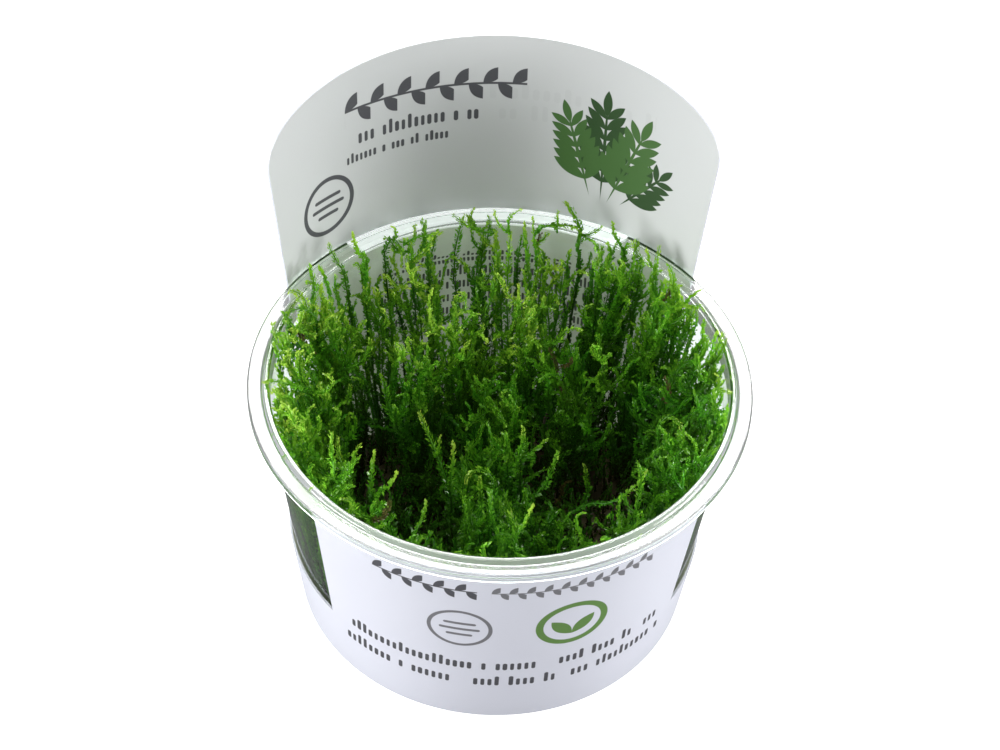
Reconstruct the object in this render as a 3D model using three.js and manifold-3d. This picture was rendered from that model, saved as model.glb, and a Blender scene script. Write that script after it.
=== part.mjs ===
// A clear plastic tissue-culture cup with a stand of aquarium moss growing on nutrient gel.
// A card sleeve wraps the cup. It has a low band all round, a front panel that tucks in under
// the flange, and a tall rounded header at the back that passes outside the flange.
// Millimetres, +Z up, the header at +Y. The origin is the centre of the cup's flat underside.

import * as THREE from 'three';
import { mergeVertices } from 'three/addons/utils/BufferGeometryUtils.js';
import Module from 'manifold-3d';

const wasm = await Module();
wasm.setup();

// Cup
const FLANGE_RADIUS = 50;
const FLANGE_TOP = 58;
const FLANGE_THICK = 0.9;
const LIP_THICK = 0.8;
const LIP_DROP = 1.8;
const MOUTH_RADIUS = 45.5;
const BEAD_WIDTH = 1.6;
const BEAD_HEIGHT = 0.6;
const WALL_FOOT_RADIUS = 39.7;
const WALL_SLOPE = 0.1226;
const WALL_THICK = 0.8;
const LEDGE_HEIGHT = 49.4;
const LEDGE_STEP = 0.5;
const FLOOR_THICK = 1;
const FOOT_CORNER = 2.5;
const CUP_SIDES = 44;

// Card sleeve
const CARD_THICK = 0.45;
const CARD_GAP = 0.35;
const CARD_FOOT = 2;
const BAND_TOP = 20.6;
const FRONT_TOP = 55.7;
const FRONT_HALF_ANGLE = 53;
const FRONT_CORNER_ANGLE = 6;
const FRONT_CORNER_DROP = 5;
const HEADER_HALF_ANGLE = 55.5;
const HEADER_SHOULDER = 27;
const HEADER_RISE = 14.6;
const HEADER_OFFSET = 3.5;
const EDGE_ANGLE = 0.3;

// Nutrient gel
const GEL_TOP = 9;
const GEL_GAP = 0.3;

// Moss: three rings of tufts round a middle one, each a clump of pointed shoots
const RING_STEP = 11.2;
const RING_COUNTS = [1, 6, 12, 18];
const RING_TURN = [0, 20, 15, 10];
const MOSS_FOOT = GEL_TOP + GEL_GAP;
const MOSS_FLARE = 0.17;
const SHOOTS_PER_TUFT = 5;
const SHOOT_SPREAD = 3.7;
const SHOOT_RADIUS = 1.35;
const SHOOT_BOW = 0.6;
const SHOOT_START = 0.4;
const SHOOT_STEPS = 3;
const SHOOT_SIDES = 3;
const TIP_RADIUS = 0.25;
const TIP_SCATTER = 9;
const RIM_LEAN = 0.5;
const CLUMP_RADIUS = 5.2;
const CLUMP_SHARE = 0.66;
const CLUMP_RINGS = [[0, 1], [0.5, 1.03], [0.86, 0.92], [1, 0.45]];
const CLUMP_SIDES = 6;
const HOLLOW = { x: 21.6, y: 0, radius: 8 };
const VALLEYS = [
  { x: -18, y: -6, halfWidth: 12, halfLength: 19, depth: 32 },
  { x: 20, y: -2, halfWidth: 11.5, halfLength: 17, depth: 30 },
];
const LOWEST_TOP = 21;

const TAU = Math.PI * 2;
const rad = (degrees) => (degrees * Math.PI) / 180;

// A repeatable number from 0 to 1 for tuft a, shoot b and use c.
function chance(a, b, c) {
  const s = Math.sin(a * 127.1 + b * 311.7 + c * 74.7) * 43758.5453;
  return s - Math.floor(s);
}

function smooth(edge0, edge1, value) {
  const t = Math.min(1, Math.max(0, (value - edge0) / (edge1 - edge0)));
  return t * t * (3 - 2 * t);
}

// Materials
const clearPlastic = new THREE.MeshStandardMaterial({
  color: 0xe4ecea, roughness: 0.08, metalness: 0, transparent: true, opacity: 0.35,
});
const printedCard = new THREE.MeshStandardMaterial({ color: 0xeeeff4, roughness: 0.5, metalness: 0 });
const paleGel = new THREE.MeshStandardMaterial({ color: 0xb9ae8c, roughness: 0.25, metalness: 0 });
const mossGreen = new THREE.MeshStandardMaterial({ color: 0x4f8f1f, roughness: 0.6, metalness: 0 });

const outerWall = (z) => WALL_FOOT_RADIUS + WALL_SLOPE * z;

function innerWall(z) {
  const ledge = z < LEDGE_HEIGHT ? LEDGE_STEP : 0;
  return outerWall(z) - WALL_THICK - ledge;
}

// Turns an outline in (radius, height) about the Z axis.
function turned(outline, sides) {
  const points = outline.map(([r, z]) => new THREE.Vector2(r, z));
  const geometry = new THREE.LatheGeometry(points, sides);
  geometry.rotateX(Math.PI / 2);
  return geometry;
}

// Cup: floor, tapering wall with a small stacking ledge inside, a bead round the mouth,
// and a flat flange whose edge turns down as a short lip.
function cupGeometry() {
  const flangeUnder = FLANGE_TOP - FLANGE_THICK;
  const footRadius = outerWall(FOOT_CORNER) - FOOT_CORNER;
  const corner = [];
  for (let i = 0; i <= 3; i += 1) {
    const a = rad(30 * i);
    corner.push([footRadius + FOOT_CORNER * Math.sin(a), FOOT_CORNER * (1 - Math.cos(a))]);
  }
  return turned([
    [0, 0],
    ...corner,
    [outerWall(flangeUnder), flangeUnder],
    [FLANGE_RADIUS - LIP_THICK, flangeUnder],
    [FLANGE_RADIUS - LIP_THICK, FLANGE_TOP - LIP_DROP],
    [FLANGE_RADIUS, FLANGE_TOP - LIP_DROP],
    [FLANGE_RADIUS, FLANGE_TOP],
    [MOUTH_RADIUS + BEAD_WIDTH, FLANGE_TOP],
    [MOUTH_RADIUS + BEAD_WIDTH * 0.7, FLANGE_TOP + BEAD_HEIGHT],
    [MOUTH_RADIUS, FLANGE_TOP + BEAD_HEIGHT * 0.5],
    [MOUTH_RADIUS, flangeUnder],
    [innerWall(LEDGE_HEIGHT), LEDGE_HEIGHT],
    [innerWall(LEDGE_HEIGHT) - LEDGE_STEP, LEDGE_HEIGHT - 0.4],
    [innerWall(FOOT_CORNER), FOOT_CORNER],
    [innerWall(FOOT_CORNER) - 1.5, FLOOR_THICK],
    [0, FLOOR_THICK],
  ], CUP_SIDES);
}

// How far the card stands off the cup's own cone: nothing at the front, and enough at the
// back for the header to pass outside the flange. Angle in degrees from the front.
function cardOffset(angle) {
  return HEADER_OFFSET * smooth(FRONT_HALF_ANGLE, 180 - HEADER_HALF_ANGLE, angle);
}

const cardRadius = (angle, z) => outerWall(z) + CARD_GAP + cardOffset(angle);

// Height of the card's top edge at an angle from the front, 0 to 180 degrees.
function cardTop(angle) {
  const fromBack = 180 - angle;
  if (fromBack < HEADER_HALF_ANGLE) {
    const share = Math.pow(fromBack / HEADER_HALF_ANGLE, 2.2);
    return FLANGE_TOP + HEADER_SHOULDER + HEADER_RISE * Math.pow(1 - share, 1 / 2.6);
  }
  if (angle <= FRONT_HALF_ANGLE) {
    const into = Math.max(0, angle - (FRONT_HALF_ANGLE - FRONT_CORNER_ANGLE)) / FRONT_CORNER_ANGLE;
    return FRONT_TOP - FRONT_CORNER_DROP * (1 - Math.sqrt(1 - into * into));
  }
  return BAND_TOP;
}

// The angles, front to back, at which the card's section changes.
function cardAngles() {
  const list = [];
  const plainFront = FRONT_HALF_ANGLE - FRONT_CORNER_ANGLE;
  for (let i = 0; i <= 7; i += 1) list.push((plainFront * i) / 7);
  for (const share of [0.5, 0.8, 0.94, 1]) list.push(plainFront + FRONT_CORNER_ANGLE * share);
  list.push(FRONT_HALF_ANGLE + EDGE_ANGLE);
  const headerEdge = 180 - HEADER_HALF_ANGLE;
  for (let i = 1; i <= 8; i += 1) {
    list.push(FRONT_HALF_ANGLE + ((headerEdge - FRONT_HALF_ANGLE) * i) / 9);
  }
  list.push(headerEdge - EDGE_ANGLE);
  for (const share of [0.999, 0.985, 0.95, 0.88, 0.78, 0.67, 0.56, 0.45, 0.34, 0.22, 0.11]) {
    list.push(180 - HEADER_HALF_ANGLE * share);
  }
  return list;
}

// Card sleeve: one bent sheet. Each angle gives a section of four corners.
function sleeveGeometry() {
  const half = cardAngles();
  const signed = [...half, 180, ...half.slice(1).reverse().map((angle) => -angle)];
  const positions = [];
  for (const turn of signed) {
    const angle = Math.abs(turn);
    const around = rad(turn - 90);
    const top = cardTop(angle);
    const corners = [[CARD_FOOT, 0], [CARD_FOOT, CARD_THICK], [top, CARD_THICK], [top, 0]];
    for (const [z, out] of corners) {
      const r = cardRadius(angle, z) + out;
      positions.push(r * Math.cos(around), r * Math.sin(around), z);
    }
  }
  const index = [];
  const count = signed.length;
  for (let i = 0; i < count; i += 1) {
    const here = i * 4;
    const next = ((i + 1) % count) * 4;
    for (let k = 0; k < 4; k += 1) {
      const up = (k + 1) % 4;
      index.push(here + k, next + k, next + up);
      index.push(here + k, next + up, here + up);
    }
  }
  const geometry = new THREE.BufferGeometry();
  geometry.setAttribute('position', new THREE.Float32BufferAttribute(positions, 3));
  geometry.setIndex(index);
  return geometry;
}

// Gel: a shallow cast layer that fills the foot of the cup, a little higher at the wall.
function gelGeometry() {
  const foot = FLOOR_THICK + GEL_GAP;
  return turned([
    [0, foot],
    [innerWall(FOOT_CORNER) - 2, foot],
    [innerWall(FOOT_CORNER) - GEL_GAP - 0.2, FOOT_CORNER + 0.4],
    [innerWall(GEL_TOP) - GEL_GAP, GEL_TOP + 0.2],
    [innerWall(GEL_TOP) - 1.5, GEL_TOP],
    [0, GEL_TOP],
  ], CUP_SIDES);
}

// Height that the moss reaches over a place on the gel: tall at the back and sides, lower
// along the front, and very low in two valleys, left and right of a ridge in the middle.
function mossHeight(x, y) {
  const r = Math.hypot(x, y);
  const rim = smooth(12, 31, r);
  const back = smooth(-30, 30, y);
  const inside = 1 - smooth(27, 32, r);
  let height = 36 + rim * (15 + 8 * back) + 8 * (1 - rim) * back;
  for (const valley of VALLEYS) {
    const away = Math.hypot((x - valley.x) / valley.halfWidth, (y - valley.y) / valley.halfLength);
    height -= valley.depth * inside * (1 - smooth(0.75, 1.25, away));
  }
  return Math.max(height, LOWEST_TOP);
}

// The tufts stand upright at the foot and spread with the cup, and those at the wall lean out
// over the rim once they are above it.
function tuftCentre(tuft, z) {
  const spread = 1 + (MOSS_FLARE * (z - MOSS_FOOT)) / (FLANGE_TOP - MOSS_FOOT);
  const overRim = tuft.ring === RING_COUNTS.length - 1 ? Math.max(0, z - FLANGE_TOP - 1) : 0;
  return {
    x: tuft.x * spread + RIM_LEAN * overRim * Math.cos(tuft.angle),
    y: tuft.y * spread + RIM_LEAN * overRim * Math.sin(tuft.angle),
  };
}

// The line of one shoot, from inside its clump to its tip, as points and radii.
function shootLine(tuft, shoot) {
  const a = TAU * ((shoot + 0.5 * chance(tuft.id, shoot, 1)) / SHOOTS_PER_TUFT) + tuft.angle;
  const spread = SHOOT_SPREAD * (0.75 + 0.25 * chance(tuft.id, shoot, 2));
  const scatter = TIP_SCATTER * (chance(tuft.id, shoot, 3) - 0.5);
  const height = mossHeight(tuft.x, tuft.y) - MOSS_FOOT + scatter;
  const bowAngle = TAU * chance(tuft.id, shoot, 4);
  const line = [];
  for (let i = 0; i <= SHOOT_STEPS; i += 1) {
    const t = i / SHOOT_STEPS;
    const z = MOSS_FOOT + height * (SHOOT_START + (1 - SHOOT_START) * t);
    const centre = tuftCentre(tuft, z);
    const out = spread * (0.6 + 0.4 * t);
    const bow = SHOOT_BOW * Math.sin(Math.PI * t * 1.5);
    line.push({
      x: centre.x + out * Math.cos(a) + bow * Math.cos(bowAngle),
      y: centre.y + out * Math.sin(a) + bow * Math.sin(bowAngle),
      z,
      radius: SHOOT_RADIUS * (1 - 0.3 * t),
    });
  }
  line[SHOOT_STEPS].radius = TIP_RADIUS;
  return line;
}

// A closed body lofted through level rings of the same number of corners.
function lofted(rings, sides, turn) {
  const positions = [];
  for (const ring of rings) {
    for (let k = 0; k < sides; k += 1) {
      const a = turn + (TAU * k) / sides;
      positions.push(ring.x + ring.radius * Math.cos(a), ring.y + ring.radius * Math.sin(a), ring.z);
    }
  }
  const index = [];
  const last = (rings.length - 1) * sides;
  for (let k = 1; k < sides - 1; k += 1) {
    index.push(0, k + 1, k);
    index.push(last, last + k, last + k + 1);
  }
  for (let i = 0; i < rings.length - 1; i += 1) {
    for (let k = 0; k < sides; k += 1) {
      const here = i * sides + k;
      const next = i * sides + ((k + 1) % sides);
      index.push(here, next, next + sides);
      index.push(here, next + sides, here + sides);
    }
  }
  const geometry = new THREE.BufferGeometry();
  geometry.setAttribute('position', new THREE.Float32BufferAttribute(positions, 3));
  geometry.setIndex(index);
  return geometry;
}

function toSolid(geometry) {
  const bare = geometry.clone();
  bare.deleteAttribute('normal');
  bare.deleteAttribute('uv');
  const merged = mergeVertices(bare, 1e-5);
  return new wasm.Manifold(new wasm.Mesh({
    numProp: 3,
    vertProperties: new Float32Array(merged.attributes.position.array),
    triVerts: new Uint32Array(merged.index.array),
  }));
}

function fromSolid(solid) {
  const mesh = solid.getMesh();
  const geometry = new THREE.BufferGeometry();
  geometry.setAttribute('position', new THREE.BufferAttribute(new Float32Array(mesh.vertProperties), 3));
  geometry.setIndex(new THREE.BufferAttribute(new Uint32Array(mesh.triVerts), 1));
  return geometry;
}

// Tuft: a lumpy clump of crowded stems with its pointed shoots standing out of it.
function tuftGeometry(tuft) {
  const top = MOSS_FOOT + (mossHeight(tuft.x, tuft.y) - MOSS_FOOT) * CLUMP_SHARE;
  const rings = CLUMP_RINGS.map(([t, width], i) => {
    const z = MOSS_FOOT + (top - MOSS_FOOT) * t;
    const radius = CLUMP_RADIUS * width * (0.92 + 0.08 * chance(tuft.id, i, 5));
    return { ...tuftCentre(tuft, z), z, radius };
  });
  let solid = toSolid(lofted(rings, CLUMP_SIDES, tuft.angle));
  for (let shoot = 0; shoot < SHOOTS_PER_TUFT; shoot += 1) {
    const turn = TAU * chance(tuft.id, shoot, 6);
    solid = solid.add(toSolid(lofted(shootLine(tuft, shoot), SHOOT_SIDES, turn)));
  }
  return fromSolid(solid);
}

// The places of the tufts, ring by ring, without those that would stand in the hollow.
function tuftPlaces() {
  const places = [];
  RING_COUNTS.forEach((count, ring) => {
    for (let i = 0; i < count; i += 1) {
      const angle = TAU * (i / count) + rad(RING_TURN[ring]);
      const x = ring * RING_STEP * Math.cos(angle);
      const y = ring * RING_STEP * Math.sin(angle);
      const id = places.length + 1;
      const place = { id, ring, x, y, angle };
      if (Math.hypot(x - HOLLOW.x, y - HOLLOW.y) > HOLLOW.radius) places.push(place);
    }
  });
  return places;
}

function named(name, geometry, material) {
  const mesh = new THREE.Mesh(geometry, material);
  mesh.name = name;
  return mesh;
}

const part = new THREE.Group();
part.add(named('cup', cupGeometry(), clearPlastic));
part.add(named('sleeve', sleeveGeometry(), printedCard));
part.add(named('gel', gelGeometry(), paleGel));
for (const tuft of tuftPlaces()) {
  const name = `moss_${String(tuft.id).padStart(2, '0')}`;
  part.add(named(name, tuftGeometry(tuft), mossGreen));
}

export default part;
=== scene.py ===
# %% [markdown]
# # A cup of tissue culture moss
# The object is a clear plastic cup with growing gel in its foot and a stand of upright aquarium moss.
# A printed card sleeve wraps it and rises at the back as a tall rounded header.
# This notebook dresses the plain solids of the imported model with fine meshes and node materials.
# Everything is in metres. The cup stands on z = 0, its centre is the origin and the header is at +Y.

# %% Load the frame
import math
from math import cos, hypot, radians, sin, sqrt
from types import SimpleNamespace

import bmesh
import bpy
import numpy as np
from mathutils import Matrix, Vector


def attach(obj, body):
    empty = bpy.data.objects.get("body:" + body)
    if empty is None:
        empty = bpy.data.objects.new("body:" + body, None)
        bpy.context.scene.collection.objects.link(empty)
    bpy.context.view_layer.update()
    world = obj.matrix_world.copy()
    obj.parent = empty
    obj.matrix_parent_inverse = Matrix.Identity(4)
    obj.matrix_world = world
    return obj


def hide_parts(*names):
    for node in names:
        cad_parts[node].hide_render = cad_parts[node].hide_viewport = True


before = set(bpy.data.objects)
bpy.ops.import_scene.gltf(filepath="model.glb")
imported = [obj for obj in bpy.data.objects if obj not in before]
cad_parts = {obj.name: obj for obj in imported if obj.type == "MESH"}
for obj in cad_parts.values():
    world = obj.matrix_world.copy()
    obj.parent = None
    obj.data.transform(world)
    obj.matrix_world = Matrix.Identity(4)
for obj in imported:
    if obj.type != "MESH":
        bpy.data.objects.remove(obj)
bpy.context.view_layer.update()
scene = bpy.context.scene
MM = 0.001
TAU = 2 * math.pi
print("nodes in the frame:", len(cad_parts))

# %% [markdown]
# ## Small helpers
# Most pieces are made as a bmesh and turned into an object the same way, and most materials are
# chains of nodes. Short helpers keep those steps on one line each, and a small class lets node
# math be written as plain arithmetic.

# %% Helpers
def setup(node, **settings):
    """Sets up a node. A setting that names an input sets or links it, and the others set the node."""
    for key, value in settings.items():
        value = getattr(value, "socket", value)
        if not key.startswith("in_"):
            setattr(node, key, value)
            continue
        name = key[3:]
        socket = node.inputs[int(name) if name.isdigit() else name.replace("_", " ")]
        if isinstance(value, bpy.types.NodeSocket):
            node.id_data.links.new(value, socket)
        else:
            socket.default_value = value
    return node


def put(tree, kind, **settings):
    return setup(tree.nodes.new("ShaderNode" + kind), **settings)


class Number:
    """A number in a node tree. Arithmetic with it adds Math nodes."""

    def __init__(self, tree, socket):
        self.tree, self.socket = tree, socket

    def of(self, operation, other=0.0):
        node = put(self.tree, "Math", operation=operation, in_0=self, in_1=other)
        return Number(self.tree, node.outputs[0])

    def __add__(self, other):
        return self.of("ADD", other)

    def __sub__(self, other):
        return self.of("SUBTRACT", other)

    def __rsub__(self, other):
        return self * -1.0 + other

    def __mul__(self, other):
        return self.of("MULTIPLY", other)

    def __truediv__(self, other):
        return self.of("DIVIDE", other)


def parts(tree, vector, kind="SeparateXYZ"):
    """The three numbers of a vector or a colour."""
    return [Number(tree, socket) for socket in put(tree, kind, in_0=vector).outputs]


def object_place(tree):
    return put(tree, "TexCoord").outputs["Object"]


def vector_math(tree, operation, first, **second):
    return put(tree, "VectorMath", operation=operation, in_0=first, **second).outputs[0]


def noise(tree, scale, detail):
    node = put(tree, "TexNoise", in_Vector=object_place(tree), in_Scale=scale, in_Detail=detail)
    return Number(tree, node.outputs["Fac"])


def blend(tree, share, first, second):
    return put(tree, "Mix", data_type="RGBA", in_0=share, in_6=first, in_7=second).outputs[2]


def mixed_surface(tree, share, first, second):
    mix = put(tree, "MixShader", in_0=share, in_1=first.outputs[0], in_2=second.outputs[0])
    setup(tree.nodes["Material Output"], in_Surface=mix.outputs[0])


def new_material(name):
    material = bpy.data.materials.new(name)
    material.use_nodes = True
    return material, material.node_tree, material.node_tree.nodes["Principled BSDF"]


def new_object(name, data, *materials):
    """Puts an object in the scene. A bmesh becomes a mesh first."""
    if isinstance(data, bmesh.types.BMesh):
        made, data = data, bpy.data.meshes.new(name)
        made.to_mesh(data)
        made.free()
    for material in materials:
        data.materials.append(material)
    thing = bpy.data.objects.new(name, data)
    scene.collection.objects.link(thing)
    return thing


def finish_piece(name, data, materials, slot_name, *replaced):
    """Makes a piece, rides it on the cup and lets it stand for its CAD node."""
    piece = new_object(name, data, *materials)
    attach(piece, "root")
    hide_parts(*replaced)
    print(name, len(piece.data.polygons), "faces")
    return piece


def turned(outline, steps):
    """Spins a section of (r, z) points in millimetres round the axis into one closed skin."""
    mesh = bmesh.new()
    points = [mesh.verts.new((r * MM, 0, z * MM)) for r, z in outline]
    edges = [mesh.edges.new(pair) for pair in zip(points, points[1:])]
    bmesh.ops.spin(mesh, geom=points + edges, cent=(0, 0, 0), axis=(0, 0, 1), angle=TAU, steps=steps,
                   use_merge=True)
    bmesh.ops.remove_doubles(mesh, verts=mesh.verts, dist=1e-6)
    bmesh.ops.recalc_face_normals(mesh, faces=mesh.faces)
    for face in mesh.faces:
        face.smooth = True
    return mesh


def step(low, high, value):
    t = min(1.0, max(0.0, (value - low) / (high - low)))
    return t * t * (3 - 2 * t)


# %% [markdown]
# ## Camera
# The picture was taken with a long lens from above the front of the cup, and the camera leaned a
# little to one side. A camera could be aimed by eye, but the outline of the flange, the wall and
# the header fix its place well, so it is set from those numbers: how far away it is, how high it
# stands, how far round it is turned and how much it rolls.

# %% Camera
AIM = Vector((-0.13, 0.0, 59.3)) * MM
DISTANCE = 496.6 * MM
ELEVATION = radians(46.58)
TURN = radians(-5.6)
ROLL = radians(2.66)
LENS = 90.6
SENSOR_WIDTH = 36

level = cos(ELEVATION)
back = Vector((sin(TURN) * level, -cos(TURN) * level, sin(ELEVATION)))
camera_data = bpy.data.cameras.new("camera")
camera_data.lens = LENS
camera_data.sensor_width = SENSOR_WIDTH
camera = new_object("camera", camera_data)
right = (-back).cross(Vector((0, 0, 1))).normalized()
upward = right.cross(-back)
rolled_right = right * cos(ROLL) + upward * sin(ROLL)
rolled_up = upward * cos(ROLL) - right * sin(ROLL)
facing = Matrix((rolled_right, rolled_up, back)).transposed().to_4x4()
camera.matrix_world = Matrix.Translation(AIM + back * DISTANCE) @ facing
scene.camera = camera
print("camera at", [round(c / MM, 1) for c in camera.location], "mm")

# %% [markdown]
# ## Light and floor
# The original stands on pure white with almost no shadow. A weak white world gives the even part
# of that light. Low soft lamps at the left and the right light the sides of the card more than its
# middle, which is why the header is grey in its middle. A lamp above adds shine on the leaves, and
# a weak one behind lights the back of the card. A large bright one stands above and behind the
# cup, where the flat flange mirrors it to the camera: that reflection is what turns the clear
# flange white. It only shows in reflections, so it does not light the moss from behind.
# A world and floor as bright as the picture's would fill the plastic with white. So only the
# camera sees a near white world and a pure white floor. Bounced light sees a grey floor, light
# through the plastic a pale one, and reflections a dark one, which draws the thin dark lines along
# the plastic's edges.
# The Standard view keeps the card's white and the moss's strong green as they were seen.

# %% Light and floor
scene.view_settings.view_transform = "Standard"
WORLD_STRENGTH = 0.315
WORLD_SEEN = 0.93
FLOOR_BOUNCED = (0.48, 0.48, 0.49, 1)
FLOOR_THROUGH = (0.86, 0.88, 0.87, 1)
FLOOR_MIRRORED = (0.19, 0.19, 0.19, 1)
FLOOR_DROP = 0.0002
LAMP_AIM = Vector((0, 0, 0.04))
# Each lamp is its place, size and power.
LAMPS = {
    "left_lamp": ((-0.82, -0.27, 0.25), 0.4, 9.0),
    "right_lamp": ((0.87, -0.22, 0.27), 0.4, 9.4),
    "top_lamp": ((-0.12, 0.22, 0.98), 0.35, 4.8),
    "back_lamp": ((0.15, 1.00, 0.26), 0.4, 5.0),
    "rear_lamp": ((0.09, 0.70, 0.60), 0.5, 17.5),
}

scene.world = bpy.data.worlds.new("white_studio")
scene.world.use_nodes = True
world_tree = scene.world.node_tree
seen = Number(world_tree, put(world_tree, "LightPath").outputs["Is Camera Ray"])
setup(world_tree.nodes["Background"], in_Color=(1, 1, 1, 1),
      in_Strength=seen * (WORLD_SEEN - WORLD_STRENGTH) + WORLD_STRENGTH)

for name, (place, size, power) in LAMPS.items():
    data = bpy.data.lights.new(name, "AREA")
    data.size, data.energy = size, power
    lamp = new_object(name, data)
    lamp.location = place
    lamp.rotation_euler = (LAMP_AIM - Vector(place)).to_track_quat("-Z", "Y").to_euler()
    lamp.visible_diffuse = name != "rear_lamp"


def floor_material():
    material, tree, shader = new_material("white_floor")
    setup(shader, in_Base_Color=(0.95, 0.95, 0.95, 1), in_Roughness=0.8, in_Emission_Color=(1, 1, 1, 1),
          in_Emission_Strength=0.9)
    ray = put(tree, "LightPath").outputs
    mirrored = put(tree, "Math", operation="SUBTRACT", use_clamp=True, in_0=ray["Is Glossy Ray"],
                   in_1=ray["Transparent Depth"])
    through = blend(tree, ray["Is Transmission Ray"], FLOOR_BOUNCED, FLOOR_THROUGH)
    unseen = put(tree, "BsdfDiffuse", in_Color=blend(tree, mirrored.outputs[0], through, FLOOR_MIRRORED))
    mixed_surface(tree, ray["Is Camera Ray"], unseen, shader)
    return material


floor_mesh = bmesh.new()
bmesh.ops.create_grid(floor_mesh, x_segments=1, y_segments=1, size=3.0)
floor = new_object("floor", floor_mesh, floor_material())
floor.location.z = -FLOOR_DROP
print("stage ready with", len(LAMPS), "lamps")

# %% [markdown]
# ## Clear plastic
# The cup is thin clear plastic: almost colourless, glossy, with a faint grey green where the eye
# looks along the wall. A plain glass shader with the index of plastic does this. Light from the
# lamps would stop at glass, and light caught inside a thin wall would end black after a few
# bounces, so a Light Path node lets both kinds of ray go straight on through a Transparent shader.
# Below the rim wet moss lies against the wall with no air between, so there a ray that is in the
# plastic already goes straight on as well, and the side of the cup looks filled with moss. The
# rim itself is a little satin, which keeps the lamps in it soft.

# %% Clear plastic
CAUGHT_AFTER = 1.5
WET_WALL_TOP = 0.054
SATIN_FROM = 0.057
WALL_ROUGHNESS = 0.02
RIM_ROUGHNESS = 0.16


def clear_plastic():
    material, tree, shader = new_material("clear_plastic")
    ray = put(tree, "LightPath").outputs
    height = parts(tree, object_place(tree))[2]
    satin = put(tree, "MapRange", in_Value=height, in_From_Min=WET_WALL_TOP, in_From_Max=SATIN_FROM,
                in_To_Min=WALL_ROUGHNESS, in_To_Max=RIM_ROUGHNESS)
    setup(shader, in_Base_Color=(0.945, 0.975, 0.950, 1), in_IOR=1.45, in_Transmission_Weight=1.0,
          in_Roughness=satin.outputs[0])
    depth = height.of("LESS_THAN", WET_WALL_TOP) + ray["Ray Depth"]
    passing = depth.of("GREATER_THAN", CAUGHT_AFTER).of("MAXIMUM", ray["Is Shadow Ray"])
    mixed_surface(tree, passing, shader, put(tree, "BsdfTransparent", in_Color=(0.93, 0.96, 0.945, 1)))
    return material


plastic = clear_plastic()

# %% [markdown]
# ## Cup
# The real cup is one thin moulding that is round about its axis. It could be cut from cylinders,
# but a section drawn once and spun gives the wall, the stacking ledge, the bead round the mouth
# and the flange with its lip in a single closed skin, which glass needs. The section's sizes are
# the CAD's own, and its sharp corners get small arcs because clear edges show every facet.

# %% Cup sizes
FLANGE_RADIUS = 50.0
FLANGE_TOP = 58.0
FLANGE_THICK = 0.9
LIP_THICK = 0.8
LIP_DROP = 1.8
MOUTH_RADIUS = 45.5
BEAD_WIDTH = 1.6
BEAD_HEIGHT = 0.6
WALL_FOOT_RADIUS = 39.7
WALL_SLOPE = 0.1226
WALL_THICK = 0.8
LEDGE_HEIGHT = 49.4
LEDGE_STEP = 0.5
FLOOR_THICK = 1.0
FOOT_CORNER = 2.5
CUP_STEPS = 144


def outer_wall(z):
    return WALL_FOOT_RADIUS + WALL_SLOPE * z


def inner_wall(z):
    return outer_wall(z) - WALL_THICK - (LEDGE_STEP if z < LEDGE_HEIGHT else 0.0)


def rounded(outline, radius, steps=3):
    """Replaces each inner corner of an open outline of (r, z) points with a small arc.

    A point just before and after each arc keeps the long faces beside it flat when smoothed.
    """
    result = [outline[0]]
    for before, corner, after in zip(outline, outline[1:], outline[2:]):
        a, c, b = Vector(before), Vector(corner), Vector(after)
        reach = min(radius, 0.4 * (a - c).length, 0.4 * (b - c).length)
        start, end = c + (a - c).normalized() * reach, c + (b - c).normalized() * reach
        result.append(tuple(start + (a - c) * 0.06))
        for i in range(steps + 1):
            t = i / steps
            result.append(tuple(start * (1 - t) ** 2 + c * 2 * t * (1 - t) + end * t ** 2))
        result.append(tuple(end + (b - c) * 0.06))
    result.append(outline[-1])
    return result


# %% Cup
def make_cup():
    under = FLANGE_TOP - FLANGE_THICK
    foot = outer_wall(FOOT_CORNER) - FOOT_CORNER
    arc = [radians(15 * i) for i in range(7)]
    corner = [(foot + FOOT_CORNER * sin(a), FOOT_CORNER * (1 - cos(a))) for a in arc]
    rim = rounded([
        (outer_wall(30), 30),
        (outer_wall(under), under),
        (FLANGE_RADIUS - LIP_THICK, under),
        (FLANGE_RADIUS - LIP_THICK, FLANGE_TOP - LIP_DROP),
        (FLANGE_RADIUS, FLANGE_TOP - LIP_DROP),
        (FLANGE_RADIUS, FLANGE_TOP),
        (MOUTH_RADIUS + BEAD_WIDTH, FLANGE_TOP),
        (MOUTH_RADIUS + BEAD_WIDTH * 0.75, FLANGE_TOP + BEAD_HEIGHT),
        (MOUTH_RADIUS + BEAD_WIDTH * 0.25, FLANGE_TOP + BEAD_HEIGHT),
        (MOUTH_RADIUS, FLANGE_TOP + BEAD_HEIGHT * 0.4),
        (MOUTH_RADIUS, under),
        (inner_wall(LEDGE_HEIGHT), LEDGE_HEIGHT),
        (inner_wall(LEDGE_HEIGHT) - LEDGE_STEP, LEDGE_HEIGHT - 0.4),
        (inner_wall(30), 30),
    ], 0.3)
    floor_edge = rounded([(inner_wall(30), 30), (inner_wall(1) - 0.2, FLOOR_THICK), (0, FLOOR_THICK)], 2.0, 4)
    outline = [(0, 0), *corner, *rim, *floor_edge[1:]]
    return finish_piece("clear_cup", turned(outline, CUP_STEPS), [plastic], "clear_plastic", "cup")


make_cup()

# %% [markdown]
# ## Print on the card
# The card carries plain generic print: bars in place of text, and simple plant marks. An image
# could do this, but shapes worked out from distances stay sharp at any size. Each mark is a node
# group that takes the place on the card in millimetres and gives a mask from 0 to 1. Its function
# says how far inside the mark's edge a place is.

# %% Print groups
EDGE_SOFTNESS = 0.05


def length_of(across, up):
    return (across * across + up * up).of("SQRT")


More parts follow.
